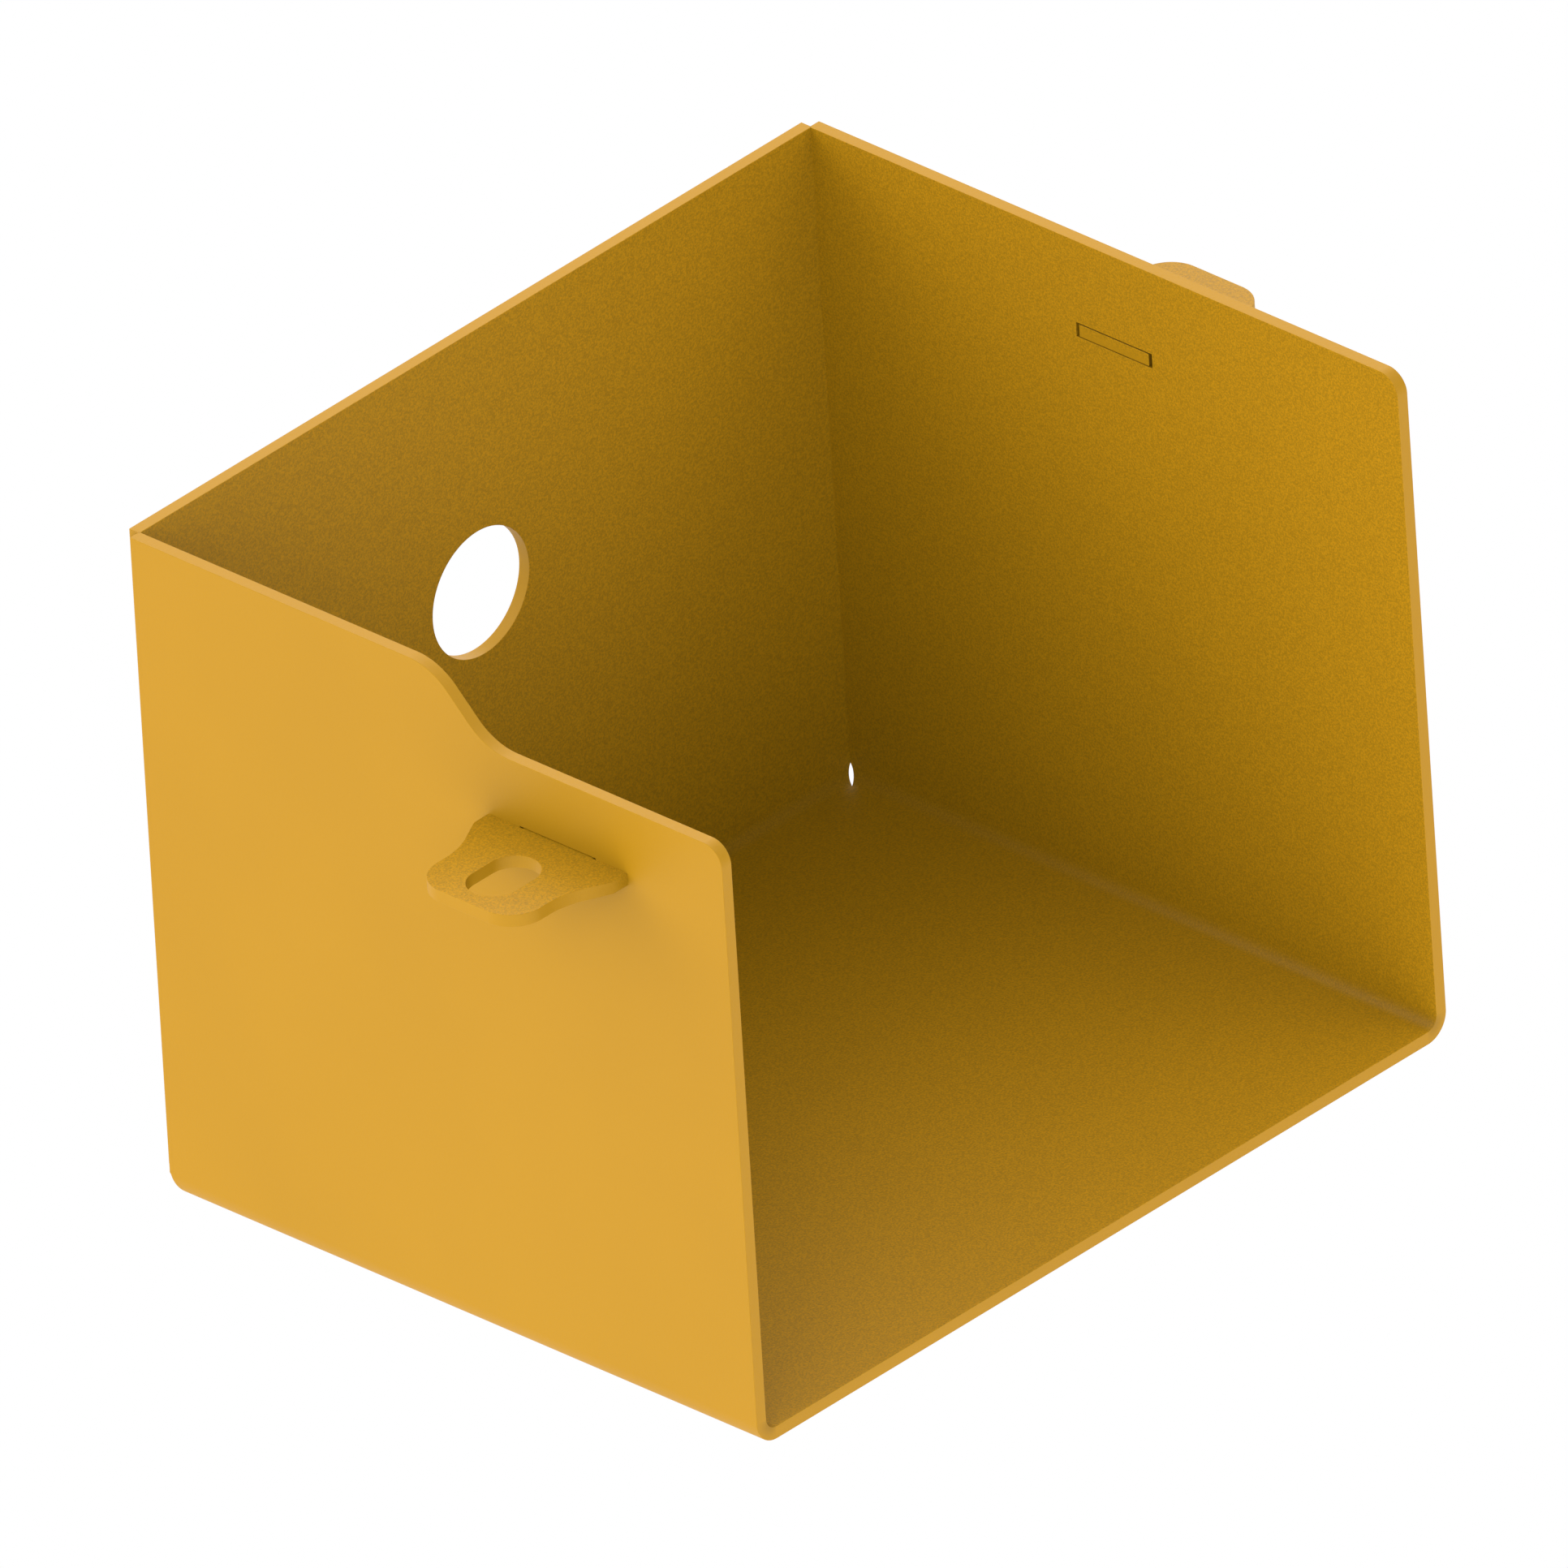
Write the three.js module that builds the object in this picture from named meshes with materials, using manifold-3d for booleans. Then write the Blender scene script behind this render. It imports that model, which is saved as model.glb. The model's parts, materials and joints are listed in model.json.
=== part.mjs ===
// A box folded from one blank of sheet steel, open at the top and the front, with a fixing tab
// let into each side wall and welded there. The left tab has a slot for its bolt and the right
// tab a round hole. Millimetres, +Z up, the open front towards -Y and the left wall at -X. The
// origin is under the middle of the whole part, on the plane of the floor's underside.
import * as THREE from 'three';
import { mergeVertices } from 'three/addons/utils/BufferGeometryUtils.js';
import Module from 'manifold-3d';

// Shell
const SHEET = 3; // thickness of the shell and of both tabs
const INNER_WIDTH = 209.3; // between the side walls
const INNER_DEPTH = 168.8; // back wall to the front edges
const INNER_HEIGHT = 160; // floor to the rim
const BEND_RADIUS = 3; // inside radius of the three floor bends
const FRONT_CORNER_RADIUS = 5; // top front corner of each side wall
const SEAM_FUSE = 0.2; // overlap that runs the walls together down each back corner

// Left wall's lower front rim and the S that leads down to it
const RIM_DROP = 15;
const LOW_RIM_LENGTH = 61.2; // front edge to the foot of the S
const SWEEP_RADIUS = 15.5; // both arcs of the S
const SWEEP_ANGLE = Math.PI / 4; // slope of the straight between the arcs

// Round hole in the back wall
const HOLE_RADIUS = 15;
const HOLE_FROM_LEFT = 101.4; // centre to the left wall's inner face
const HOLE_BELOW_RIM = 63.3;

// Fixing tabs
const TAB_REACH = 29.6; // wall's outer face to the tip
const TAB_ROOT_WIDTH = 40;
const TAB_ROOT_LENGTH = 4.5; // straight flank next to the wall
const TAB_TIP_WIDTH = 30;
const TAB_TIP_LENGTH = 10.4; // tip to the end of the hollow flank
const TAB_TIP_RADIUS = 8;
const TAB_WAIST_RADIUS = 20; // hollow flank between root and tip
const BOLT_WIDTH = 12; // across the left tab's slot and the right tab's round hole
const BOLT_SLOT_LENGTH = 18;
const BOLT_FROM_TIP = 12.7; // centre of the slot or the hole to the tip
const LEFT_TAB_FROM_FRONT = 48.1; // front edge to the tab's centre line
const RIGHT_TAB_FROM_FRONT = 83;
const LEFT_TAB_BELOW_RIM = 31; // rim to the tab's top face
const RIGHT_TAB_BELOW_RIM = 20.8;

// Tongue of each tab and the slot that it passes through
const TONGUE_WIDTH = 20;
const TONGUE_FACE_GAP = 0.27; // above and below the tongue
const TONGUE_END_GAP = 0.93; // at each short end
const SEAT_GAP = 0.02; // between the tab's shoulders and the wall

// Stitch welds
const TAB_BEAD_LENGTH = 12;
const TAB_BEAD_LEG = 2.5;
const TAB_BEAD_INSET = 3; // bead's end to the tab's flank
const TAB_BEADS = 2;
const CORNER_BEAD_LENGTH = 25;
const CORNER_BEAD_SETBACK = 0.6; // bead's toe to the walls' outer faces
const CORNER_BEAD_MARGIN = 14; // end beads to the rim, and to the bends
const CORNER_BEADS = 3;
const BEAD_GAP = 0.05; // between a bead and the plates that it joins
const BEAD_CROWN = 0.62; // fullness of a bead's face, where 0.5 is flat

// Fineness of the round shapes
const BEND_STEPS = 10;
const HOLE_STEPS = 72;
const ARC_STEPS = 16;

const BEND_OUTER = BEND_RADIUS + SHEET;
const RIM = SHEET + INNER_HEIGHT;
const HALF_WIDTH = INNER_WIDTH / 2;
const FRONT = -(INNER_DEPTH + SHEET) / 2;
const BACK = FRONT + INNER_DEPTH; // inner face of the back wall
const LAP = 1; // how far a bend runs on flat inside the plates that it joins
const GRID = 4096; // solids are joined on a grid of this many steps to the millimetre
const CLEAR_WITHIN = 0.004; // how far clearing needless points may move a surface
const MARGIN = 1; // how far a cutter stands proud of what it cuts

const COAT_COLOUR = 0xe0a638;
const COAT_ROUGHNESS = 0.55;

const X = new THREE.Vector3(1, 0, 0);
const Y = new THREE.Vector3(0, 1, 0);
const Z = new THREE.Vector3(0, 0, 1);
const opposite = (vector) => vector.clone().negate();

// Each basis says where a flat outline's own right, up and thickness directions go.
const ACROSS_SIDE_WALL = new THREE.Matrix4().makeBasis(Y, Z, X);
const ACROSS_BACK_WALL = new THREE.Matrix4().makeBasis(X, Z, opposite(Y));
const BEND_TO_RIGHT = new THREE.Matrix4().makeBasis(X, Y, Z);
const BEND_TO_LEFT = new THREE.Matrix4().makeBasis(opposite(X), opposite(Y), Z);
const BEND_TO_BACK = new THREE.Matrix4().makeBasis(Y, opposite(X), Z);

const wasm = await Module();
wasm.setup();

// Points are set on a fine grid first, so that faces meant to be flush are exactly flush.
function solidOf(geometry) {
  const bare = geometry.clone();
  bare.deleteAttribute('normal');
  bare.deleteAttribute('uv');
  const merged = mergeVertices(bare);
  const place = merged.getAttribute('position').array;
  return new wasm.Manifold(new wasm.Mesh({
    numProp: 3,
    vertProperties: Float32Array.from(place, (value) => Math.round(value * GRID) / GRID),
    triVerts: new Uint32Array(merged.index.array),
  }));
}

// The joined solid is cleared of the needless points that its pieces' edges left on its faces.
function geometryOf(solid) {
  const mesh = solid.asOriginal().simplify(CLEAR_WITHIN).getMesh();
  const geometry = new THREE.BufferGeometry();
  geometry.setAttribute('position', new THREE.BufferAttribute(mesh.vertProperties, 3));
  geometry.setIndex(new THREE.BufferAttribute(mesh.triVerts, 1));
  geometry.computeVertexNormals();
  return geometry;
}

function extruded(shape, depth, curveSegments = ARC_STEPS) {
  return new THREE.ExtrudeGeometry(shape, { depth, curveSegments, bevelEnabled: false });
}

// A flat outline with straight sides, through the given points.
function outline(...points) {
  return new THREE.Shape(points.map(([x, y]) => new THREE.Vector2(x, y)));
}

function boxBetween(low, high) {
  const [width, depth, height] = high.map((value, axis) => value - low[axis]);
  const middle = high.map((value, axis) => (value + low[axis]) / 2);
  return new THREE.BoxGeometry(width, depth, height).translate(...middle);
}

// ---------------------------------------------------------------- shell

// The S that takes the rim down, and the rounded front corner below it. The arcs give way where
// the drop is too small for them.
function leftWallOutline() {
  const radius = Math.min(SWEEP_RADIUS, RIM_DROP / (2 * (1 - Math.cos(SWEEP_ANGLE))));
  const arcRun = radius * Math.sin(SWEEP_ANGLE);
  const arcDrop = radius * (1 - Math.cos(SWEEP_ANGLE));
  const straightRun = (RIM_DROP - 2 * arcDrop) / Math.tan(SWEEP_ANGLE);
  const foot = FRONT + LOW_RIM_LENGTH;
  const head = foot + 2 * arcRun + straightRun;
  const lowRim = RIM - RIM_DROP;
  const shape = new THREE.Shape();
  shape.moveTo(FRONT, BEND_OUTER);
  shape.lineTo(BACK + SEAM_FUSE, BEND_OUTER);
  shape.lineTo(BACK + SEAM_FUSE, RIM);
  shape.lineTo(head, RIM);
  shape.absarc(head, RIM - radius, radius, Math.PI / 2, Math.PI / 2 + SWEEP_ANGLE, false);
  shape.lineTo(foot + arcRun, lowRim + arcDrop);
  shape.absarc(foot, lowRim + radius, radius, SWEEP_ANGLE - Math.PI / 2, -Math.PI / 2, true);
  addFrontCorner(shape, lowRim);
  return shape;
}

function rightWallOutline() {
  const shape = new THREE.Shape();
  shape.moveTo(FRONT, BEND_OUTER);
  shape.lineTo(BACK + SEAM_FUSE, BEND_OUTER);
  shape.lineTo(BACK + SEAM_FUSE, RIM);
  addFrontCorner(shape, RIM);
  return shape;
}

function addFrontCorner(shape, rim) {
  const radius = FRONT_CORNER_RADIUS;
  shape.lineTo(FRONT + radius, rim);
  shape.absarc(FRONT + radius, rim - radius, radius, Math.PI / 2, Math.PI, false);
  shape.lineTo(FRONT, BEND_OUTER);
}

function backWallOutline() {
  const reach = HALF_WIDTH + SEAM_FUSE;
  return outline([-reach, BEND_OUTER], [reach, BEND_OUTER], [reach, RIM], [-reach, RIM]);
}

// A bend turns the sheet up through a right angle. It is made turning up to the right, along Y,
// and its ends are straight cuts in the flat blank, from the floor's corner to the wall's. So
// they wind round the bend, and two neighbours leave a lens-shaped slit between them.
// An inset is how far the bend's floor edge stops short of its wall's end.
function bendStrip(wallInnerFace, start, end, startInset, endInset) {
  const rows = BEND_STEPS + 2;
  const strip = new THREE.BoxGeometry(1, 1, 1, rows, 1, 1);
  const place = strip.getAttribute('position');
  for (let i = 0; i < place.count; i++) {
    const row = Math.round((place.getX(i) + 0.5) * rows);
    const turn = THREE.MathUtils.clamp((row - 1) / BEND_STEPS, 0, 1);
    const angle = turn * Math.PI / 2;
    const radius = place.getZ(i) > 0 ? BEND_RADIUS : BEND_OUTER;
    const floorLap = row === 0 ? LAP : 0;
    const wallLap = row === rows ? LAP : 0;
    const startHere = start + startInset * (1 - turn);
    const endHere = end - endInset * (1 - turn);
    place.setXYZ(
      i,
      wallInnerFace - BEND_RADIUS + radius * Math.sin(angle) - floorLap,
      place.getY(i) < 0 ? startHere : endHere,
      BEND_OUTER - radius * Math.cos(angle) + wallLap,
    );
  }
  return strip;
}

function tongueSlotCutter(wallInnerFace, fromFront, belowRim) {
  const halfWidth = TONGUE_WIDTH / 2 + TONGUE_END_GAP;
  const centre = FRONT + fromFront;
  const top = RIM - belowRim;
  return boxBetween(
    [wallInnerFace - SHEET - MARGIN, centre - halfWidth, top - SHEET - TONGUE_FACE_GAP],
    [wallInnerFace + SHEET + MARGIN, centre + halfWidth, top + TONGUE_FACE_GAP],
  );
}

function backHoleCutter() {
  const circle = new THREE.Shape();
  circle.absarc(HOLE_FROM_LEFT - HALF_WIDTH, RIM - HOLE_BELOW_RIM, HOLE_RADIUS, 0, 2 * Math.PI);
  return extruded(circle, SHEET + 2 * MARGIN, HOLE_STEPS)
    .applyMatrix4(ACROSS_BACK_WALL)
    .translate(0, BACK + SHEET + MARGIN, 0);
}

function shellGeometry() {
  const inset = BEND_RADIUS;
  const plates = [
    boxBetween([inset - HALF_WIDTH, FRONT, 0], [HALF_WIDTH - inset, BACK - inset, SHEET]),
    extruded(leftWallOutline(), SHEET)
      .applyMatrix4(ACROSS_SIDE_WALL)
      .translate(-HALF_WIDTH - SHEET, 0, 0),
    extruded(rightWallOutline(), SHEET)
      .applyMatrix4(ACROSS_SIDE_WALL)
      .translate(HALF_WIDTH, 0, 0),
    extruded(backWallOutline(), SHEET)
      .applyMatrix4(ACROSS_BACK_WALL)
      .translate(0, BACK + SHEET, 0),
  ];
  const bends = [
    bendStrip(HALF_WIDTH, -BACK, -FRONT, inset, 0).applyMatrix4(BEND_TO_LEFT),
    bendStrip(HALF_WIDTH, FRONT, BACK, 0, inset).applyMatrix4(BEND_TO_RIGHT),
    bendStrip(BACK, -HALF_WIDTH, HALF_WIDTH, inset, inset).applyMatrix4(BEND_TO_BACK),
  ];
  const cutters = [
    tongueSlotCutter(-HALF_WIDTH, LEFT_TAB_FROM_FRONT, LEFT_TAB_BELOW_RIM),
    tongueSlotCutter(HALF_WIDTH, RIGHT_TAB_FROM_FRONT, RIGHT_TAB_BELOW_RIM),
    backHoleCutter(),
  ];
  const folded = [...plates, ...bends].map(solidOf).reduce((whole, piece) => whole.add(piece));
  return geometryOf(cutters.map(solidOf).reduce((whole, cutter) => whole.subtract(cutter), folded));
}

// ---------------------------------------------------------------- tabs

// A tab lies flat, with its outline's X pointing out from the wall's outer face. Each flank is
// straight at the root, leans in to meet a hollow arc, and runs straight again to the tip.
// The arc gives way where the root's corner is too close for a tangent. The bolt's opening is
// a slot, or a round hole where it is no longer than it is wide.
function tabShape(openingLength) {
  const rootHalf = TAB_ROOT_WIDTH / 2;
  const tipHalf = TAB_TIP_WIDTH / 2;
  const tongueHalf = TONGUE_WIDTH / 2;
  const hollowEnd = TAB_REACH - TAB_TIP_LENGTH;
  const run = hollowEnd - TAB_ROOT_LENGTH;
  const stepIn = rootHalf - tipHalf;
  const waist = Math.min(TAB_WAIST_RADIUS, (run ** 2 + stepIn ** 2) / (2 * stepIn));
  const centreOut = tipHalf + waist;
  const toCentre = Math.hypot(run, centreOut - rootHalf);
  const lean = Math.asin(waist / toCentre) - Math.atan2(centreOut - rootHalf, run);
  const tip = TAB_REACH - TAB_TIP_RADIUS;
  const corner = tipHalf - TAB_TIP_RADIUS;

  const shape = new THREE.Shape();
  shape.moveTo(-SHEET, -tongueHalf);
  shape.lineTo(SEAT_GAP, -tongueHalf);
  shape.lineTo(SEAT_GAP, -rootHalf);
  shape.lineTo(TAB_ROOT_LENGTH, -rootHalf);
  shape.absarc(hollowEnd, -centreOut, waist, Math.PI / 2 + lean, Math.PI / 2, true);
  shape.lineTo(tip, -tipHalf);
  shape.absarc(tip, -corner, TAB_TIP_RADIUS, -Math.PI / 2, 0, false);
  shape.absarc(tip, corner, TAB_TIP_RADIUS, 0, Math.PI / 2, false);
  shape.lineTo(hollowEnd, tipHalf);
  shape.absarc(hollowEnd, centreOut, waist, -Math.PI / 2, -Math.PI / 2 - lean, true);
  shape.lineTo(TAB_ROOT_LENGTH, rootHalf);
  shape.lineTo(SEAT_GAP, rootHalf);
  shape.lineTo(SEAT_GAP, tongueHalf);
  shape.lineTo(-SHEET, tongueHalf);

  const middle = TAB_REACH - BOLT_FROM_TIP;
  const stretch = (openingLength - BOLT_WIDTH) / 2;
  const opening = new THREE.Path();
  opening.absarc(middle + stretch, 0, BOLT_WIDTH / 2, -Math.PI / 2, Math.PI / 2, false);
  opening.absarc(middle - stretch, 0, BOLT_WIDTH / 2, Math.PI / 2, 1.5 * Math.PI, false);
  shape.holes.push(opening);
  return shape;
}

function coatMaterial() {
  return new THREE.MeshStandardMaterial({ color: COAT_COLOUR, roughness: COAT_ROUGHNESS, metalness: 0 });
}

function namedMesh(name, geometry) {
  const mesh = new THREE.Mesh(geometry, coatMaterial());
  mesh.name = name;
  return mesh;
}

function tabMesh(name, sign, fromFront, belowRim, openingLength) {
  const tab = namedMesh(name, extruded(tabShape(openingLength), SHEET));
  tab.position.set(sign * (HALF_WIDTH + SHEET), FRONT + fromFront, RIM - belowRim - SHEET);
  tab.rotation.z = sign > 0 ? 0 : Math.PI;
  return tab;
}

// ---------------------------------------------------------------- welds

// A bead's section: two legs along the plates and a slightly swollen face between their toes.
// signX and signY say which way the legs run from the root.
function beadShape(leg, signX, signY) {
  const crown = leg * BEAD_CROWN;
  const shape = new THREE.Shape();
  shape.moveTo(0, 0);
  shape.lineTo(signX * leg, 0);
  shape.quadraticCurveTo(signX * crown, signY * crown, 0, signY * leg);
  return shape;
}

// Beads under a tab, where its underside meets the wall's outer face.
function tabBeads(name, sign, fromFront, belowRim) {
  const room = TAB_ROOT_WIDTH - 2 * TAB_BEAD_INSET - TAB_BEAD_LENGTH;
  const rootX = sign * (HALF_WIDTH + SHEET + BEAD_GAP);
  const underside = RIM - belowRim - SHEET - BEAD_GAP;
  return Array.from({ length: TAB_BEADS }, (_, i) => {
    const frontEnd = FRONT + fromFront - (room + TAB_BEAD_LENGTH) / 2 + (room * i) / (TAB_BEADS - 1);
    const geometry = extruded(beadShape(TAB_BEAD_LEG, sign, -1), TAB_BEAD_LENGTH)
      .applyMatrix4(ACROSS_BACK_WALL);
    const bead = namedMesh(`${name}_${i + 1}`, geometry);
    bead.position.set(rootX, frontEnd + TAB_BEAD_LENGTH, underside);
    return bead;
  });
}

// Beads in the notch that the walls' square ends leave outside each back corner.
function cornerBeads(name, sign) {
  const leg = SHEET - SEAM_FUSE - BEAD_GAP - CORNER_BEAD_SETBACK;
  const lowest = BEND_OUTER + CORNER_BEAD_MARGIN;
  const room = RIM - CORNER_BEAD_MARGIN - lowest - CORNER_BEAD_LENGTH;
  return Array.from({ length: CORNER_BEADS }, (_, i) => {
    const bead = namedMesh(`${name}_${i + 1}`, extruded(beadShape(leg, sign, 1), CORNER_BEAD_LENGTH));
    bead.position.set(
      sign * (HALF_WIDTH + SEAM_FUSE + BEAD_GAP),
      BACK + SEAM_FUSE + BEAD_GAP,
      lowest + (room * i) / (CORNER_BEADS - 1),
    );
    return bead;
  });
}

// ---------------------------------------------------------------- assembly

const group = new THREE.Group();
group.add(namedMesh('folded_shell', shellGeometry()));
group.add(tabMesh('left_tab', -1, LEFT_TAB_FROM_FRONT, LEFT_TAB_BELOW_RIM, BOLT_SLOT_LENGTH));
group.add(tabMesh('right_tab', 1, RIGHT_TAB_FROM_FRONT, RIGHT_TAB_BELOW_RIM, BOLT_WIDTH));
group.add(...tabBeads('left_tab_weld', -1, LEFT_TAB_FROM_FRONT, LEFT_TAB_BELOW_RIM));
group.add(...tabBeads('right_tab_weld', 1, RIGHT_TAB_FROM_FRONT, RIGHT_TAB_BELOW_RIM));
group.add(...cornerBeads('left_corner_weld', -1));
group.add(...cornerBeads('right_corner_weld', 1));

export default group;
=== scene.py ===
import json
import math
import bmesh
import bpy
from mathutils import Matrix, Vector


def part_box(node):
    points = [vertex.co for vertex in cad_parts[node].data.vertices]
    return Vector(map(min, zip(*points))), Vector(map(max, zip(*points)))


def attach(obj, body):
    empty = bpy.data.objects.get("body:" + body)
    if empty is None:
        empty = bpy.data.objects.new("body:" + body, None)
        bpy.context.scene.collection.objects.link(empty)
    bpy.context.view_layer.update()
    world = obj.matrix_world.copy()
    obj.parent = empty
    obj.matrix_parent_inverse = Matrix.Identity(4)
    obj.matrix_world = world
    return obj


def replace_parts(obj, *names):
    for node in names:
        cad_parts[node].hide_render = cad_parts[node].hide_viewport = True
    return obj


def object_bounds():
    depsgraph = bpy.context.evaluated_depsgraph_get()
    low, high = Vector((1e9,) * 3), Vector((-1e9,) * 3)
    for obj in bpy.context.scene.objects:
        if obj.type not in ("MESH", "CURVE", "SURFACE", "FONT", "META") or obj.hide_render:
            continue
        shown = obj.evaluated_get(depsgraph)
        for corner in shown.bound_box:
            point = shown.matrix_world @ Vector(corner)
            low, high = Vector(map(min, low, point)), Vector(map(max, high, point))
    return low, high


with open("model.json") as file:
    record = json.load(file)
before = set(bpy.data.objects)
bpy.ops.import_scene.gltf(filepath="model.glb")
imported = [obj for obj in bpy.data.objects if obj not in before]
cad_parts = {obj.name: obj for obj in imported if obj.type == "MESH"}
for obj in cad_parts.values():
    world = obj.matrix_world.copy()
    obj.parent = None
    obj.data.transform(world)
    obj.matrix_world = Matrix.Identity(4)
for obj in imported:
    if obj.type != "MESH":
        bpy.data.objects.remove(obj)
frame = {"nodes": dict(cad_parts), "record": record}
cad_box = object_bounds()

# A box folded from one blank of sheet steel, open at the top and the front, with a fixing tab
# let into each side wall and stitch-welded there. All of it is powder coated.
# Shapes are made in millimetres and set to metres when their mesh is written.
MM = 0.001

# Sheet
BEND_RADIUS = 3.0  # inside radius of the floor bends
FRONT_CORNER_RADIUS = 5.0
SEAM_FUSE = 0.3  # how far the back corners' walls run into each other, as their welds join them
EDGE_ROUND = 0.12  # softening of a cut edge by its coat
SLOT_EDGE_ROUND = 0.05  # the same on a tongue and round its slot

# Left wall's lower front rim and the S that leads down to it
RIM_DROP = 15.0
LOW_RIM_LENGTH = 61.2
SWEEP_RADIUS = 15.5
SWEEP_ANGLE = math.pi / 4

HOLE_RADIUS = 15.0

# Tabs
TAB_ROOT_LENGTH = 4.5
TAB_TIP_WIDTH = 30.0
TAB_TIP_LENGTH = 10.4
TAB_TIP_RADIUS = 8.0
TAB_WAIST_RADIUS = 20.0
BOLT_WIDTH = 12.0  # across the left tab's slot and the right tab's round hole
BOLT_SLOT_LENGTH = 18.0
TONGUE_WIDTH = 20.0
TONGUE_FACE_GAP = 0.27
TONGUE_END_GAP = 0.93

# Fineness of the round shapes
BEND_STEPS = 20
ARC_STEPS = 24
HOLE_STEPS = 128
EDGE_STEPS = 4
CUT_MERGE = 1e-4  # a cut this close to a point of the mesh runs through the point
SHARPEST_CORNER = 0.5  # least cosine by which a corner's rounding is stretched to its mitre
CRISP_ANGLE = math.radians(35)  # an edge that turns more than this is shaded sharp


def box_mm(name):
    """A CAD node's lowest and highest corners in millimetres."""
    low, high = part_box(name)
    return low / MM, high / MM


shell_low, shell_high = box_mm("folded_shell")
left_tab_low, left_tab_high = box_mm("left_tab")
right_tab_low, right_tab_high = box_mm("right_tab")
openings = {row["name"]: row["box_m"] for row in frame["record"]["physics"]["openings"]}

SHEET = left_tab_high.z - left_tab_low.z
RIM = shell_high.z
FRONT = shell_low.y
BACK = shell_high.y - SHEET  # inner face of the back wall
HALF_WIDTH = shell_high.x - SHEET  # inner face of a side wall
BEND_OUTER = BEND_RADIUS + SHEET
FLAT_HALF_WIDTH = HALF_WIDTH - BEND_RADIUS  # the floor's flat ends here, at the side bends
FLAT_BACK = BACK - BEND_RADIUS
BEND_NEUTRAL = BEND_RADIUS + SHEET / 2
BEND_LENGTH = BEND_NEUTRAL * math.pi / 2  # of flat blank taken up by a bend


# ---------------------------------------------------------------- outlines

def arc(centre, radius, start, end, steps=ARC_STEPS):
    """Points along an arc, both ends included."""
    angles = [start + (end - start) * i / steps for i in range(steps + 1)]
    return [centre + radius * Vector((math.cos(a), math.sin(a))) for a in angles]


def rectangle_hole(low, high):
    """A hole's outline, with the material on its left as all outlines have it."""
    return [Vector(low), Vector((low.x, high.y)), Vector(high), Vector((high.x, low.y))]


def inset(loop, distances):
    """The loop moved into the material, which lies on its left, each point by its own distance."""
    moved = []
    for i, here in enumerate(loop):
        before = (here - loop[i - 1]).normalized()
        after = (loop[(i + 1) % len(loop)] - here).normalized()
        left_before = Vector((-before.y, before.x))
        left_after = Vector((-after.y, after.x))
        middle = (left_before + left_after).normalized()
        moved.append(here + middle * (distances[i] / max(middle.dot(left_after), SHARPEST_CORNER)))
    return moved


# ---------------------------------------------------------------- flat plates

def flat_plate(loops_and_rounds, thickness):
    """A plate from Z = 0 up, its loops' edges rounded, each point by its own radius."""
    mesh = bmesh.new()
    caps = {0: [], -1: []}
    turns = [math.pi / 2 * i / EDGE_STEPS for i in range(EDGE_STEPS + 1)]
    shares = [(1 - math.cos(a), 1 - math.sin(a)) for a in turns]
    levels = [(0, rise, step) for rise, step in shares]
    levels += [(thickness, -rise, step) for rise, step in reversed(shares)]
    for loop, rounds in loops_and_rounds:
        rings = []
        for face, rise, step in levels:
            points = inset(loop, [radius * step for radius in rounds])
            heights = [face + rise * radius for radius in rounds]
            rings.append([mesh.verts.new((p.x, p.y, z)) for p, z in zip(points, heights)])
        for below, above in zip(rings, rings[1:]):
            for i in range(len(loop)):
                j = (i + 1) % len(loop)
                mesh.faces.new((below[i], below[j], above[j], above[i]))
        for end in caps:
            ring = rings[end]
            caps[end] += [mesh.edges.get((ring[i - 1], ring[i])) for i in range(len(ring))]
    for end, facing in ((0, -1), (-1, 1)):
        bmesh.ops.triangle_fill(mesh, edges=caps[end], use_beauty=True, normal=(0, 0, facing))
    return mesh


def evenly(loop, radius):
    """The loop with one radius for all of its edge."""
    return loop, [radius] * len(loop)


def cut_across(mesh, place, direction):
    """Gives the plate a line of edges, for a bend or a change of the coat to start from."""
    everything = mesh.verts[:] + mesh.edges[:] + mesh.faces[:]
    bmesh.ops.bisect_plane(mesh, geom=everything, dist=CUT_MERGE, plane_co=place, plane_no=direction)


def written(mesh, name, matrix=Matrix.Identity(4)):
    """The finished piece in metres, with flat faces flat and rounded ones smooth."""
    mesh.transform(Matrix.Scale(MM, 4) @ matrix)
    bmesh.ops.recalc_face_normals(mesh, faces=mesh.faces)
    data = bpy.data.meshes.new(name)
    mesh.to_mesh(data)
    mesh.free()
    data.shade_smooth()
    data.set_sharp_from_angle(angle=CRISP_ANGLE)
    piece = bpy.data.objects.new(name, data)
    bpy.context.scene.collection.objects.link(piece)
    weighted = piece.modifiers.new("weighted_normals", "WEIGHTED_NORMAL")
    weighted.keep_sharp = True
    return piece


# ---------------------------------------------------------------- shell

# Two vertex values steer the coat. The first is painted shade, by which the coat is darkened
# to stand in for the shade in hollows: 0 on open sheet, 1 at the deepest of a bend, and more in
# a narrow gap. SHELTER is 1 on a face that the spray reaches only at a slant, and 0 elsewhere.
SHADE_IN_HOLLOWS = "shade_in_hollows"
SHELTER = "shelter"
SLOT_PAINTED_SHADE = 1.0  # painted shade on the walls of a tongue's slot
TONGUE_PAINTED_SHADE = 2.2  # painted shade on a tongue's inner half, which faces them closely
TONGUE_FADE = 0.06  # length over which a tongue's painted shade begins and ends
BEND_SPREAD = 0.7  # below 1, a bend's painted shade reaches further towards its two ends


def unrolled(height):
    """How far from the bend's start a wall's point lies in the flat blank."""
    return BEND_LENGTH + height - BEND_OUTER


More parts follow.
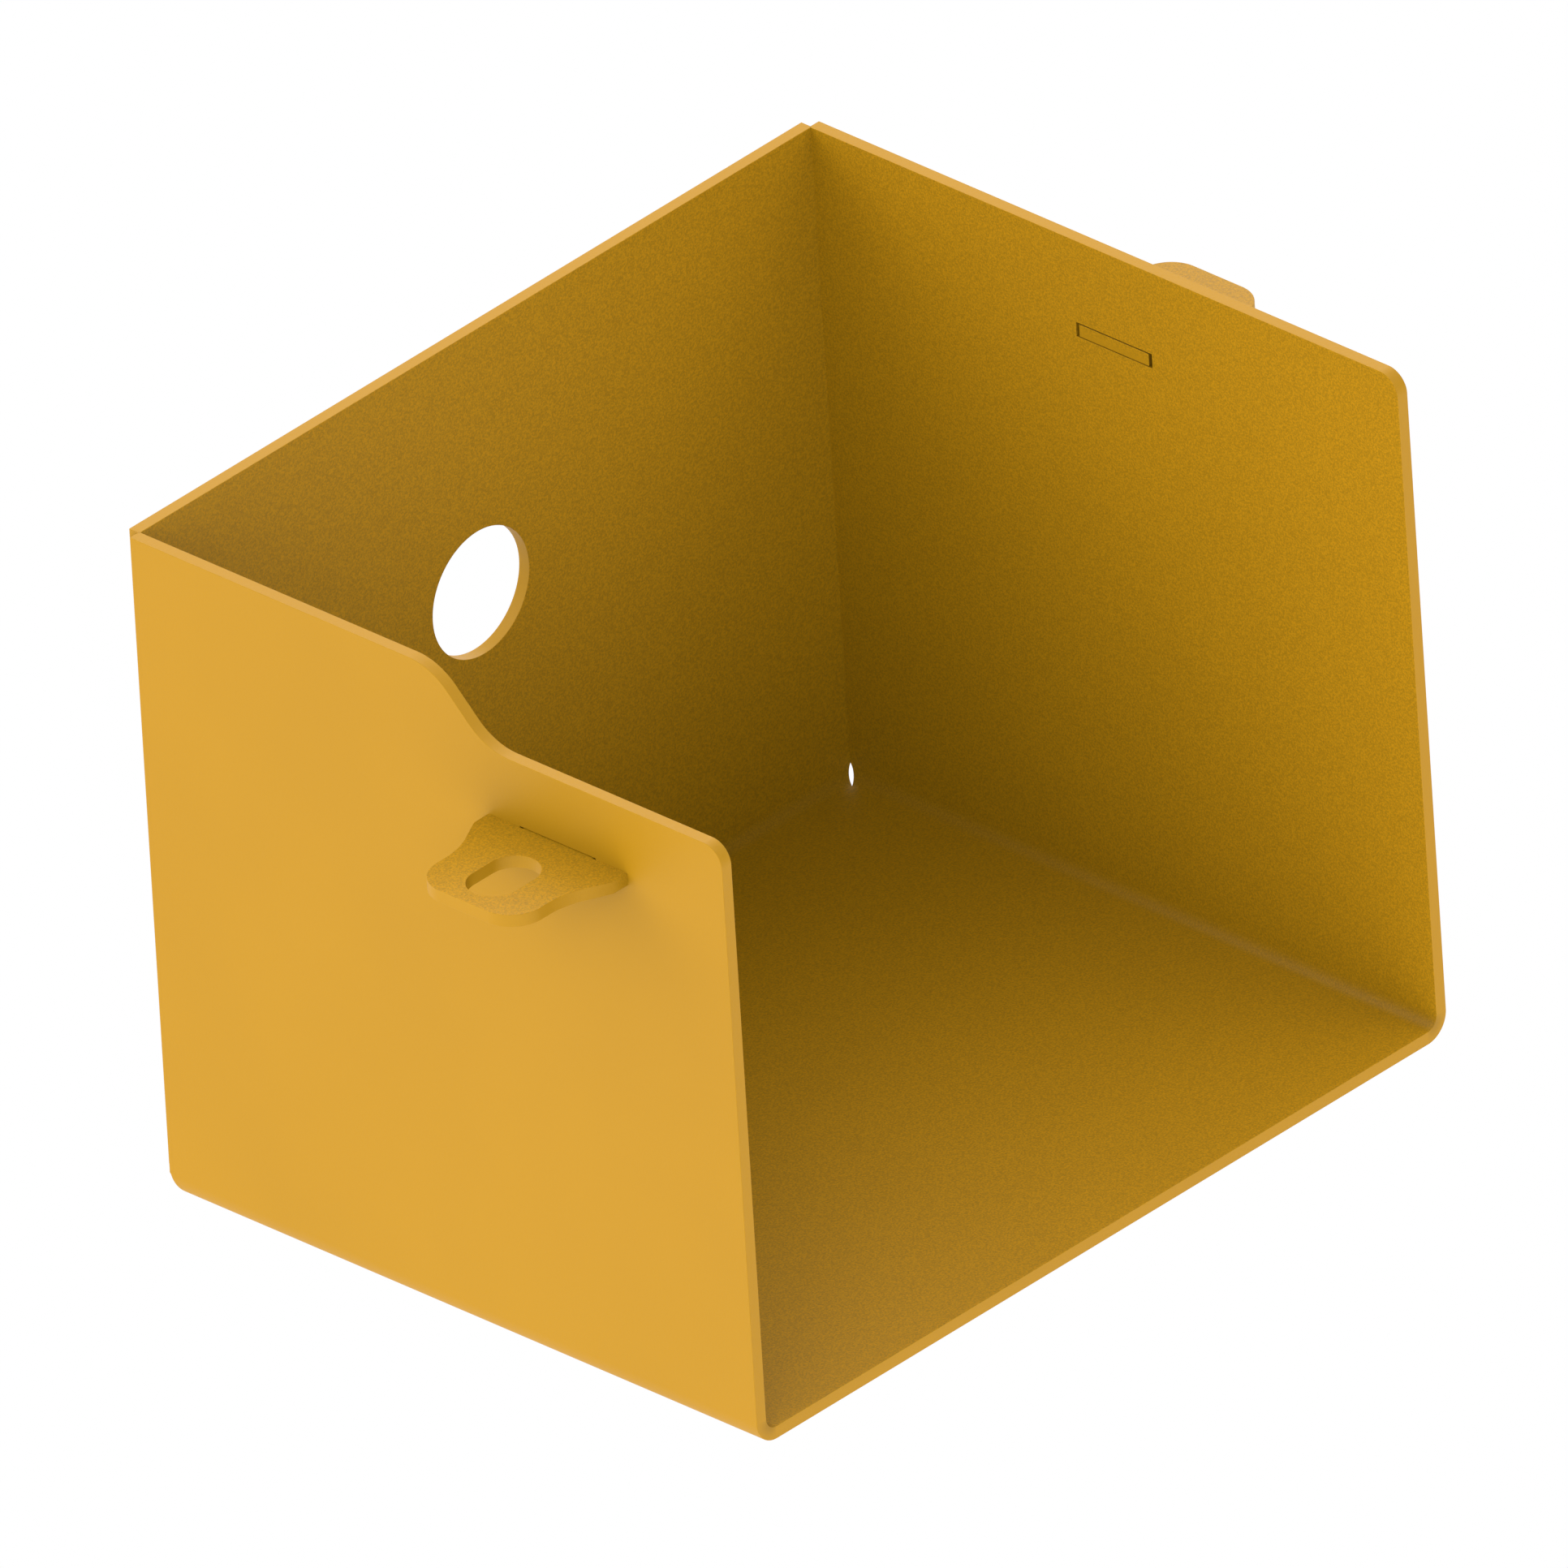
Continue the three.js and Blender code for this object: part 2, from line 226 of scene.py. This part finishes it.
def front_corner(rim):
    """The front edge's rounded top, as (Y, height), from the front edge to the rim."""
    centre = Vector((FRONT + FRONT_CORNER_RADIUS, rim - FRONT_CORNER_RADIUS))
    return arc(centre, FRONT_CORNER_RADIUS, math.pi, math.pi / 2)


def stepped_rim():
    """The left wall's rim from the front edge to the back, as (Y, height)."""
    low_rim = RIM - RIM_DROP
    run = SWEEP_RADIUS * math.sin(SWEEP_ANGLE)
    drop = SWEEP_RADIUS * (1 - math.cos(SWEEP_ANGLE))
    straight = (RIM_DROP - 2 * drop) / math.tan(SWEEP_ANGLE)
    foot = FRONT + LOW_RIM_LENGTH
    head = foot + 2 * run + straight
    up, down = math.pi / 2, -math.pi / 2
    rising = arc(Vector((foot, low_rim + SWEEP_RADIUS)), SWEEP_RADIUS, down, down + SWEEP_ANGLE)
    levelling = arc(Vector((head, RIM - SWEEP_RADIUS)), SWEEP_RADIUS, up + SWEEP_ANGLE, up)
    return front_corner(low_rim) + rising + levelling


def blank_outline():
    """The cross-shaped blank, anticlockwise from the floor's front left corner."""
    def left(points):
        return [Vector((-FLAT_HALF_WIDTH - unrolled(z), y)) for y, z in points]

    def right(points):
        return [Vector((FLAT_HALF_WIDTH + unrolled(z), y)) for y, z in points]

    def back(points):
        return [Vector((x, FLAT_BACK + unrolled(z))) for x, z in points]

    fused = BEND_OUTER + SEAM_FUSE
    side_end = [(BACK + SEAM_FUSE, RIM), (BACK + SEAM_FUSE, fused), (BACK, BEND_OUTER)]
    reach = HALF_WIDTH + SEAM_FUSE
    right_end = [(HALF_WIDTH, BEND_OUTER), (reach, fused), (reach, RIM)]
    left_end = [(-x, z) for x, z in reversed(right_end)]
    corner = Vector((FLAT_HALF_WIDTH, FLAT_BACK))
    outline = [Vector((-FLAT_HALF_WIDTH, FRONT)), Vector((FLAT_HALF_WIDTH, FRONT))]
    outline += right(front_corner(RIM)) + right(side_end) + [corner]
    outline += back(right_end) + back(left_end) + [Vector((-corner.x, corner.y))]
    outline += left(reversed(side_end)) + left(reversed(stepped_rim()))
    return outline


def tongue_slot(tab_low, tab_high, side):
    """The slot in the blank that a tab's tongue passes through."""
    centre = (tab_low.y + tab_high.y) / 2
    half = TONGUE_WIDTH / 2 + TONGUE_END_GAP
    heights = (tab_low.z - TONGUE_FACE_GAP, tab_high.z + TONGUE_FACE_GAP)
    across = sorted(side * (FLAT_HALF_WIDTH + unrolled(z)) for z in heights)
    return rectangle_hole(Vector((across[0], centre - half)), Vector((across[1], centre + half)))


def back_hole():
    """The back wall's round hole in the blank."""
    low, high = (Vector(corner) / MM for corner in openings["back_hole"])
    middle = (low + high) / 2
    centre = Vector((middle.x, FLAT_BACK + unrolled(middle.z)))
    return arc(centre, HOLE_RADIUS, 2 * math.pi, 0, HOLE_STEPS)[:-1]


def fold(point):
    """Takes a point of the flat blank to its place in the folded box. Z is up to the inside."""
    beyond_side = abs(point.x) - FLAT_HALF_WIDTH
    beyond_back = point.y - FLAT_BACK
    travel = max(beyond_side, beyond_back)
    if travel <= 0:
        return point.copy()
    angle = min(travel / BEND_NEUTRAL, math.pi / 2)
    radius = BEND_OUTER - point.z
    out = radius * math.sin(angle)
    height = BEND_OUTER - radius * math.cos(angle) + max(travel - BEND_LENGTH, 0)
    if beyond_side >= beyond_back:
        return Vector((math.copysign(FLAT_HALF_WIDTH + out, point.x), point.y, height))
    return Vector((point.x, FLAT_BACK + out, height))


def sheltered(point):
    """1 on the blank's inner face or a tab's top, and 0 elsewhere."""
    return 1.0 if point.z > SHEET - EDGE_ROUND / 2 else 0.0


def slot_painted_shade(point, slots):
    """The painted shade that a point of the blank gets from lying on a slot's wall."""
    if not SLOT_EDGE_ROUND / 2 < point.z < SHEET - SLOT_EDGE_ROUND / 2:
        return 0.0
    near = 2 * SLOT_EDGE_ROUND
    for low, _, high, _ in slots:
        if low.x - near < point.x < high.x + near and low.y - near < point.y < high.y + near:
            return SLOT_PAINTED_SHADE
    return 0.0


def bend_painted_shade(point):
    """The painted shade that a point of the blank gets from lying inside a bend."""
    travel = max(abs(point.x) - FLAT_HALF_WIDTH, point.y - FLAT_BACK)
    share = min(max(travel / BEND_LENGTH, 0), 1)
    return math.sin(math.pi * share) ** BEND_SPREAD if point.z > SHEET / 2 else 0.0


def folded_shell():
    """The blank with its holes and slots, folded up into the floor and three walls."""
    slots = [
        tongue_slot(left_tab_low, left_tab_high, -1),
        tongue_slot(right_tab_low, right_tab_high, 1),
    ]
    loops = [evenly(blank_outline(), EDGE_ROUND), evenly(back_hole(), EDGE_ROUND)]
    loops += [evenly(slot, SLOT_EDGE_ROUND) for slot in slots]
    blank = flat_plate(loops, SHEET)
    for i in range(BEND_STEPS + 1):
        travel = BEND_LENGTH * i / BEND_STEPS
        cut_across(blank, (FLAT_HALF_WIDTH + travel, 0, 0), (1, 0, 0))
        cut_across(blank, (-FLAT_HALF_WIDTH - travel, 0, 0), (1, 0, 0))
        cut_across(blank, (0, FLAT_BACK + travel, 0), (0, 1, 0))
    # Painted shade: the inner faces of the bends and the walls of the slots are marked for the coat
    # to darken them, standing in for the shade there.
    shade_in_hollows = blank.verts.layers.float.new(SHADE_IN_HOLLOWS)
    shelter = blank.verts.layers.float.new(SHELTER)
    for vertex in blank.verts:
        vertex[shade_in_hollows] = slot_painted_shade(vertex.co, slots) or bend_painted_shade(vertex.co)
        vertex[shelter] = sheltered(vertex.co)
        vertex.co = fold(vertex.co)
    shell = written(blank, "coated_shell")
    shell.data.materials.append(coat_on_sheet)
    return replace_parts(shell, "folded_shell")


# ---------------------------------------------------------------- tabs

def tab_outline(reach, root_width):
    """A tab and its tongue, X out from the wall's outer face, anticlockwise from the tongue."""
    root_half = root_width / 2
    tip_half = TAB_TIP_WIDTH / 2
    tongue_half = TONGUE_WIDTH / 2
    hollow_end = reach - TAB_TIP_LENGTH
    run = hollow_end - TAB_ROOT_LENGTH
    centre_out = tip_half + TAB_WAIST_RADIUS
    to_centre = math.hypot(run, centre_out - root_half)
    lean = math.asin(TAB_WAIST_RADIUS / to_centre) - math.atan2(centre_out - root_half, run)
    flank = [Vector((-SHEET, -tongue_half)), Vector((0, -tongue_half)), Vector((0, -root_half))]
    flank.append(Vector((TAB_ROOT_LENGTH, -root_half)))
    flank += arc(Vector((hollow_end, -centre_out)), TAB_WAIST_RADIUS, math.pi / 2 + lean, math.pi / 2)
    corner = Vector((reach - TAB_TIP_RADIUS, TAB_TIP_RADIUS - tip_half))
    flank += arc(corner, TAB_TIP_RADIUS, -math.pi / 2, 0)
    return flank + [Vector((p.x, -p.y)) for p in reversed(flank)]


def bolt_slot(centre):
    """The left tab's slot, with its centre so far out from the wall."""
    half = (BOLT_SLOT_LENGTH - BOLT_WIDTH) / 2
    far = arc(Vector((centre + half, 0)), BOLT_WIDTH / 2, math.pi / 2, -math.pi / 2)
    near = arc(Vector((centre - half, 0)), BOLT_WIDTH / 2, -math.pi / 2, -1.5 * math.pi)
    return far + near


def bolt_hole(centre):
    """The right tab's round hole, with its centre so far out from the wall."""
    return arc(Vector((centre, 0)), BOLT_WIDTH / 2, 2 * math.pi, 0, 2 * ARC_STEPS)[:-1]


def tab(name, side, opening, cut):
    """A fixing tab on the side wall at -X or +X, with the bolt opening that cut draws."""
    low, high = box_mm(name)
    wall = HALF_WIDTH + SHEET
    reach = max(abs(low.x), abs(high.x)) - wall
    middle = abs(sum(corner[0] for corner in openings[opening])) / 2 / MM
    outline = tab_outline(reach, high.y - low.y)
    rounds = [EDGE_ROUND if point.x > 0 else SLOT_EDGE_ROUND for point in outline]
    plate = flat_plate([(outline, rounds), evenly(cut(middle - wall), EDGE_ROUND)], high.z - low.z)
    # The tongue's inner half, which sits in its slot, is marked for painted shade, so that the gap
    # round it shows dark.
    halfway = -SHEET / 2
    tongue_shade_to, tongue_shade_from = halfway - TONGUE_FADE, -SHEET + TONGUE_FADE
    for place in (halfway, tongue_shade_to, tongue_shade_from):
        cut_across(plate, (place, 0, 0), (1, 0, 0))
    shade_in_hollows = plate.verts.layers.float.new(SHADE_IN_HOLLOWS)
    shelter = plate.verts.layers.float.new(SHELTER)
    for vertex in plate.verts:
        in_tongue_shade = tongue_shade_from - TONGUE_FADE / 2 < vertex.co.x < tongue_shade_to + TONGUE_FADE / 2
        vertex[shade_in_hollows] = TONGUE_PAINTED_SHADE if in_tongue_shade else 0.0
        vertex[shelter] = sheltered(vertex.co)
    turned = Matrix.Rotation(0 if side > 0 else math.pi, 4, "Z")
    placed = Matrix.Translation((side * wall, (low.y + high.y) / 2, low.z)) @ turned
    piece = written(plate, f"coated_{name}", placed)
    piece.data.materials.append(coat_on_sheet)
    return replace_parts(piece, name)


# ---------------------------------------------------------------- welds

BEAD_POINTS = 14  # across the bead's face
BEAD_STEP = 0.16  # along it
BEAD_SINK = 0.12  # how far its legs run into the plates
BEAD_CROWN = 0.22  # swell of the face, as a share of the leg
BEAD_END = 1.8  # length over which an end tapers
BEAD_END_LEG = 0.12  # the leg left at the very end, as a share of the full leg
BEAD_SWELLS = ((0.035, 1.9), (0.025, 4.3))  # uneven leg: share of it, and radians per millimetre
RIPPLE_PITCH = 1.5
RIPPLE_HEIGHT = 0.1
RIPPLE_CURVE = 0.55  # how far a ripple's middle trails its ends, in pitches
RIPPLE_LEVEL = 0.6  # share of a ripple's height that lies below the bead's even face
RIPPLE_SPREAD = 0.5  # below 1, the ripples reach further towards the bead's two toes


def weld_bead(name, root, along, leg_a, leg_b, leg, length):
    """A rippled fillet between two plates. root is its corner at one end, in millimetres."""
    mesh = bmesh.new()
    rings = []
    count = round(length / BEAD_STEP)
    outward = (leg_a + leg_b).normalized()
    for i in range(count + 1):
        travel = length * i / count
        to_end = min(travel, length - travel)
        taper = math.sqrt(1 - (1 - min(to_end / BEAD_END, 1)) ** 2)
        fullness = taper * (1 - BEAD_END_LEG) + BEAD_END_LEG
        swell = sum(share * math.sin(travel * turn) for share, turn in BEAD_SWELLS)
        size = leg * fullness * (1 + swell)
        start = root + along * travel
        ring = [start - (leg_a + leg_b) * BEAD_SINK]
        for j in range(BEAD_POINTS + 1):
            share = j / BEAD_POINTS
            bulge = math.sin(math.pi * share)
            phase = travel / RIPPLE_PITCH + RIPPLE_CURVE * bulge
            ripple = 1 - (2 * (phase % 1) - 1) ** 2
            wave = RIPPLE_HEIGHT * fullness * (ripple - RIPPLE_LEVEL) * bulge ** RIPPLE_SPREAD
            lift = size * BEAD_CROWN * bulge + wave
            sunk = BEAD_SINK * (1 - bulge)
            face = leg_a * size * (1 - share) + leg_b * size * share
            ring.append(start + face + outward * lift - outward * sunk)
        rings.append([mesh.verts.new(point) for point in ring])
    for here, there in zip(rings, rings[1:]):
        for i in range(len(here)):
            j = (i + 1) % len(here)
            mesh.faces.new((here[i], here[j], there[j], there[i]))
    mesh.faces.new(rings[0])
    mesh.faces.new(rings[-1])
    piece = written(mesh, f"rippled_{name}")
    piece.data.materials.append(coat_on_weld)
    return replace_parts(piece, name)


def tab_weld(name, side):
    """A bead under a tab, where its underside meets the wall's outer face."""
    low, high = box_mm(name)
    root = Vector((side * (HALF_WIDTH + SHEET), low.y, high.z))
    out, down = Vector((side, 0, 0)), Vector((0, 0, -1))
    return weld_bead(name, root, Vector((0, 1, 0)), out, down, high.x - low.x, high.y - low.y)


def corner_weld(name, side):
    """A bead in the notch that the walls' square ends leave outside a back corner."""
    low, high = box_mm(name)
    root = Vector((side * HALF_WIDTH, BACK, low.z))
    out, behind = Vector((side, 0, 0)), Vector((0, 1, 0))
    return weld_bead(name, root, Vector((0, 0, 1)), out, behind, high.x - low.x, high.z - low.z)


# ---------------------------------------------------------------- materials

COAT = "#DA9F10"
COAT_IOR = 1.42
COAT_ROUGHNESS = (0.5, 0.6)  # from one speck to the next
WET_SPECK = 0.01  # swing of the lightness from speck to speck, where the coat has flowed out
DRY_SPECK = 0.18  # and where the powder landed thin and dry
MOTTLE = 0.015  # slow swing of the lightness over a face, from the coat's thickness
PAINTED_SHADE_LOSS = 0.27  # of the coat's lightness taken away as painted shade where the shade value is 1

# Sizes of the coat's patterns. A real speck of powder is about 0.05 mm across, too fine to see,
# and is drawn coarser so that it shows. No face lies a whole number of these specks from the
# frame's origin, because the pattern would fade on such a face.
MOTTLE_SIZE = 45.0
SPECK_SIZE = 0.39
PEEL_SIZE = 2.4
GRAIN_SIZE = 0.7
NOISE_RANGE = {"From_Min": 0.3, "From_Max": 0.7}  # nearly all of a noise texture's values


def linear(hex_colour):
    """An sRGB hex colour as the linear colour that the shaders take."""
    parts = [int(hex_colour[i:i + 2], 16) / 255 for i in (1, 3, 5)]
    return [p / 12.92 if p <= 0.04045 else ((p + 0.055) / 1.055) ** 2.4 for p in parts] + [1.0]


def node(tree, kind, settings=None, **inputs):
    """Adds a node. Settings are its own properties, and inputs its sockets' values or links."""
    made = tree.nodes.new(kind)
    for key, value in (settings or {}).items():
        setattr(made, key, value)
    for key, value in inputs.items():
        socket = made.inputs[int(key[1:]) if key[1:].isdigit() else key.replace("_", " ")]
        if isinstance(value, bpy.types.NodeSocket):
            tree.links.new(value, socket)
        else:
            socket.default_value = value
    return made


def per_metre(millimetres):
    """The texture scale at which a pattern repeats every so many millimetres."""
    return 1 / (millimetres * MM)


def new_material(name):
    """A material with no nodes yet, and its node tree."""
    material = bpy.data.materials.new(name)
    material.use_nodes = True
    material.node_tree.nodes.clear()
    return material, material.node_tree


def powder_coat(name, peel_height, grain_height):
    """Polyester powder coat, cured matt over steel: an even, slightly grainy skin of one hue
    with no metal showing, soft broad highlights and a faint orange peel. Its colour is darkened
    in bends and gaps as painted shade. The heights of its peel and its grain are in millimetres."""
    material, tree = new_material(name)
    place = node(tree, "ShaderNodeTexCoord").outputs["Object"]
    mottle = node(tree, "ShaderNodeTexNoise", Vector=place, Scale=per_metre(MOTTLE_SIZE), Detail=2.0)
    fleck = node(tree, "ShaderNodeTexNoise", Vector=place, Scale=per_metre(SPECK_SIZE), Detail=1.0)
    peel = node(tree, "ShaderNodeTexNoise", Vector=place, Scale=per_metre(PEEL_SIZE), Detail=1.0)
    grain = node(tree, "ShaderNodeTexNoise", Vector=place, Scale=per_metre(GRAIN_SIZE), Detail=2.0)
    shade = node(
        tree, "ShaderNodeMapRange", Value=mottle.outputs["Fac"],
        **NOISE_RANGE, To_Min=1 - MOTTLE, To_Max=1 + MOTTLE,
    )
    shelter = node(tree, "ShaderNodeAttribute", {"attribute_name": SHELTER})
    spread = node(
        tree, "ShaderNodeMath", {"operation": "MULTIPLY_ADD"},
        _0=shelter.outputs["Fac"], _1=DRY_SPECK - WET_SPECK, _2=WET_SPECK,
    )
    swing = node(
        tree, "ShaderNodeMapRange", Value=fleck.outputs["Fac"],
        **NOISE_RANGE, To_Min=-1.0, To_Max=1.0,
    )
    speck = node(
        tree, "ShaderNodeMath", {"operation": "MULTIPLY_ADD"},
        _0=swing.outputs[0], _1=spread.outputs[0], _2=1.0,
    )
    even = node(
        tree, "ShaderNodeMath", {"operation": "MULTIPLY"},
        _0=shade.outputs[0], _1=speck.outputs[0],
    )
    # Painted shade: the coat is darkened where the shade value is set, in bends and gaps.
    shade_in_hollows = node(tree, "ShaderNodeAttribute", {"attribute_name": SHADE_IN_HOLLOWS})
    shaded_in_hollows = node(
        tree, "ShaderNodeMath", {"operation": "MULTIPLY_ADD"},
        _0=shade_in_hollows.outputs["Fac"], _1=-PAINTED_SHADE_LOSS, _2=1.0,
    )
    tone = node(
        tree, "ShaderNodeMath", {"operation": "MULTIPLY"},
        _0=even.outputs[0], _1=shaded_in_hollows.outputs[0],
    )
    colour = node(
        tree, "ShaderNodeVectorMath", {"operation": "SCALE"},
        _0=linear(COAT)[:3], Scale=tone.outputs[0],
    )
    smoothest, roughest = COAT_ROUGHNESS
    gloss = node(
        tree, "ShaderNodeMapRange", Value=fleck.outputs["Fac"],
        **NOISE_RANGE, To_Min=smoothest, To_Max=roughest,
    )
    peeled = node(
        tree, "ShaderNodeBump", Height=peel.outputs["Fac"], Strength=1.0, Distance=peel_height * MM,
    )
    grained = node(
        tree, "ShaderNodeBump", Height=grain.outputs["Fac"], Strength=1.0,
        Distance=grain_height * MM, Normal=peeled.outputs["Normal"],
    )
    shader = node(
        tree, "ShaderNodeBsdfPrincipled", Base_Color=colour.outputs["Vector"],
        Roughness=gloss.outputs[0], IOR=COAT_IOR, Normal=grained.outputs["Normal"],
    )
    node(tree, "ShaderNodeOutputMaterial", Surface=shader.outputs["BSDF"])
    return material


def lit_acrylic():
    """Opal acrylic lit from beneath: a plain white table that no shadow shows on."""
    material, tree = new_material("lit_opal_acrylic_table")
    glow = node(tree, "ShaderNodeEmission", Color=(1, 1, 1, 1), Strength=1.0)
    node(tree, "ShaderNodeOutputMaterial", Surface=glow.outputs[0])
    return material


# Over rolled sheet the coat lies flat, and its fine grain is what shows. Over a weld it follows
# the ripples and fills their valleys, so it is smoother close up and wavier from afar.
coat_on_sheet = powder_coat("matt_powder_coat_on_sheet", peel_height=0.01, grain_height=0.035)
coat_on_weld = powder_coat("matt_powder_coat_on_weld", peel_height=0.02, grain_height=0.02)


# ---------------------------------------------------------------- stage

TABLE_RADIUS = 6000.0
TABLE_SIDES = 96
TABLE_DROP = 0.02  # below the box, so that the table's face and the box's don't coincide


def table():
    """The floor: a round table top, far wider than the view."""
    mesh = bmesh.new()
    bmesh.ops.create_circle(mesh, cap_ends=True, segments=TABLE_SIDES, radius=TABLE_RADIUS)
    piece = written(mesh, "table", Matrix.Translation((0, 0, -TABLE_DROP)))
    piece.data.materials.append(lit_acrylic())


# Light from everywhere above the table, and the soft boxes that stand in it. Each has the
# azimuth and the height of its middle in degrees, its radiance there, and its tightness: the
# higher, the narrower.
TENT_EVEN = 0.05
SOFT_BOXES = (
    (215.0, 25.0, 2.06, 9.0),
    (115.0, 35.0, 2.19, 5.6),
    (29.0, 22.0, 2.93, 9.0),
    (-52.0, 43.0, 1.05, 9.0),
)


def soft_box(tree, heading, azimuth, height, radiance, tightness):
    """The radiance that one soft box adds, falling off all round from its middle."""
    turn, rise = math.radians(azimuth), math.radians(height)
    middle = (math.cos(rise) * math.cos(turn), math.cos(rise) * math.sin(turn), math.sin(rise))
    near = node(tree, "ShaderNodeVectorMath", {"operation": "DOT_PRODUCT"}, _0=heading, _1=middle)
    fall = node(
        tree, "ShaderNodeMath", {"operation": "MULTIPLY_ADD"},
        _0=near.outputs["Value"], _1=tightness, _2=-tightness,
    )
    share = node(tree, "ShaderNodeMath", {"operation": "EXPONENT"}, _0=fall.outputs[0])
    glow = node(tree, "ShaderNodeMath", {"operation": "MULTIPLY"}, _0=share.outputs[0], _1=radiance)
    return glow.outputs[0]


def tent():
    """The world: a dim even light and the soft boxes."""
    world = bpy.data.worlds.new("light_tent")
    bpy.context.scene.world = world
    world.use_nodes = True
    tree = world.node_tree
    tree.nodes.clear()
    heading = node(tree, "ShaderNodeTexCoord").outputs["Generated"]
    total = TENT_EVEN
    for box in SOFT_BOXES:
        glow = soft_box(tree, heading, *box)
        total = node(tree, "ShaderNodeMath", {"operation": "ADD"}, _0=glow, _1=total).outputs[0]
    light = node(tree, "ShaderNodeBackground", Color=(1, 1, 1, 1), Strength=total)
    node(tree, "ShaderNodeOutputWorld", Surface=light.outputs[0])


# The camera looks down on the open front from the left, without perspective. Lengths in metres.
VIEW_RIGHT = Vector((0.6770, -0.7340, -0.0538))
VIEW_UP = Vector((0.4092, 0.3147, 0.8564))
VIEW_WIDTH = 0.33153
VIEW_DROP = 0.00014  # how far below the box's middle the camera aims
VIEW_DISTANCE = 1.5


def camera():
    """Aims the camera at the middle of the box, from its own directions to the right and up."""
    low, high = cad_box
    right = VIEW_RIGHT.normalized()
    back = right.cross(VIEW_UP).normalized()
    up = back.cross(right)
    aim = (Vector(low) + Vector(high)) / 2 - up * VIEW_DROP
    data = bpy.data.cameras.new("camera")
    data.type = "ORTHO"
    data.ortho_scale = VIEW_WIDTH
    piece = bpy.data.objects.new("camera", data)
    bpy.context.scene.collection.objects.link(piece)
    turn = Matrix((right, up, back)).transposed().to_4x4()
    piece.matrix_world = Matrix.Translation(aim + back * VIEW_DISTANCE) @ turn
    bpy.context.scene.camera = piece


def colour_management():
    """Colours as they are, and light straight from the tent only, so that the inside keeps the
    coat's own hue."""
    scene = bpy.context.scene
    scene.view_settings.view_transform = "Standard"
    scene.cycles.diffuse_bounces = 0


# ---------------------------------------------------------------- assembly

pieces = [
    folded_shell(),
    tab("left_tab", -1, "left_bolt_slot", bolt_slot),
    tab("right_tab", 1, "right_bolt_hole", bolt_hole),
]
for name in sorted(frame["nodes"]):
    side = -1 if name.startswith("left") else 1
    if "tab_weld" in name:
        pieces.append(tab_weld(name, side))
    elif "corner_weld" in name:
        pieces.append(corner_weld(name, side))
for piece in pieces:
    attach(piece, "root")

table()
tent()
camera()
colour_management()
